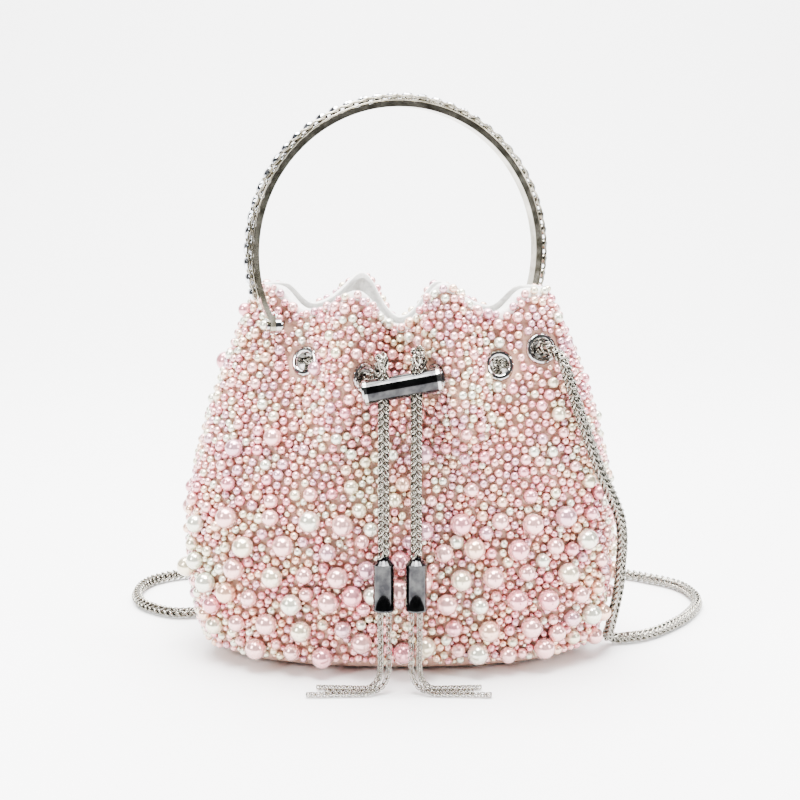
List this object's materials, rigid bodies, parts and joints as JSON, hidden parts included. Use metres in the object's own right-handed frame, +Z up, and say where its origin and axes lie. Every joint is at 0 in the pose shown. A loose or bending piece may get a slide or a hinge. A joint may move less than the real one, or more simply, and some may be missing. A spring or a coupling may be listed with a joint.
{
  "type": "beaded drawstring bucket bag",
  "caption": "Small pearl-beaded drawstring bucket bag with a jewelled hoop handle, a sliding cord lock on two chain tails with tassels, and a chain strap.",
  "frame": {"origin": "middle of the base, on the surface that the bag stands on", "axes": "+Z up, +X to the right along the bag's width, -Y towards the front, where the drawstring tails hang"},
  "size_m": [0.3121, 0.198, 0.2664],
  "materials": {
    "beaded_cloth": "satin-faced cloth sewn all over with beads",
    "lining_satin": "white satin",
    "base_board": "raw pressed board",
    "piping": "clear glossy piping",
    "pearl": "pearlescent coat",
    "plated_metal": "bright nickel plate",
    "chain_metal": "nickel plated wire, tumbled",
    "hidden_metal": "plain washers and rivets",
    "crystal": "cut and foiled"
  },
  "bodies": {
    "bag": {"front_panel": "beaded_cloth", "back_panel": "beaded_cloth", "base_panel": "beaded_cloth", "base_board": "base_board", "lining": "lining_satin", "mouth_binding": "lining_satin", "side_piping_left": "piping", "side_piping_right": "piping", "drawstring_eyelets": "plated_metal", "drawstring_eyelet_washers": "hidden_metal", "strap_eyelets": "plated_metal", "strap_eyelet_washers": "hidden_metal", "front_pearls": "pearl", "back_pearls": "pearl", "handle_anchors": "plated_metal", "anchor_rivets": "hidden_metal", "handle_pivot_pins": "plated_metal", "drawstring_loop": "chain_metal", "drawstring_tail_left": "chain_metal", "drawstring_tail_right": "chain_metal", "end_cap_left": "plated_metal", "end_cap_right": "plated_metal", "tassel_left_1": "chain_metal", "tassel_left_2": "chain_metal", "tassel_left_3": "chain_metal", "tassel_right_1": "chain_metal", "tassel_right_2": "chain_metal", "tassel_right_3": "chain_metal", "strap_chain": "chain_metal", "strap_stops": "hidden_metal"},
    "handle": {"handle_band": "plated_metal", "handle_settings": "plated_metal", "handle_stones": "crystal"},
    "slider": {"slider_tube": "plated_metal", "slider_end_caps": "plated_metal"}
  },
  "joints": [
    {"name": "handle_swing", "type": "hinge", "parent": "bag", "child": "handle", "pos_m": [0, 0, 0.161], "axis": [0.9613, 0.2756, 0], "range_deg": [-45, 45]},
    {"name": "slider_slide", "type": "slide", "parent": "bag", "child": "slider", "axis": [0, -0.0876, -0.9962], "range_m": [0, 0.055]}
  ]
}
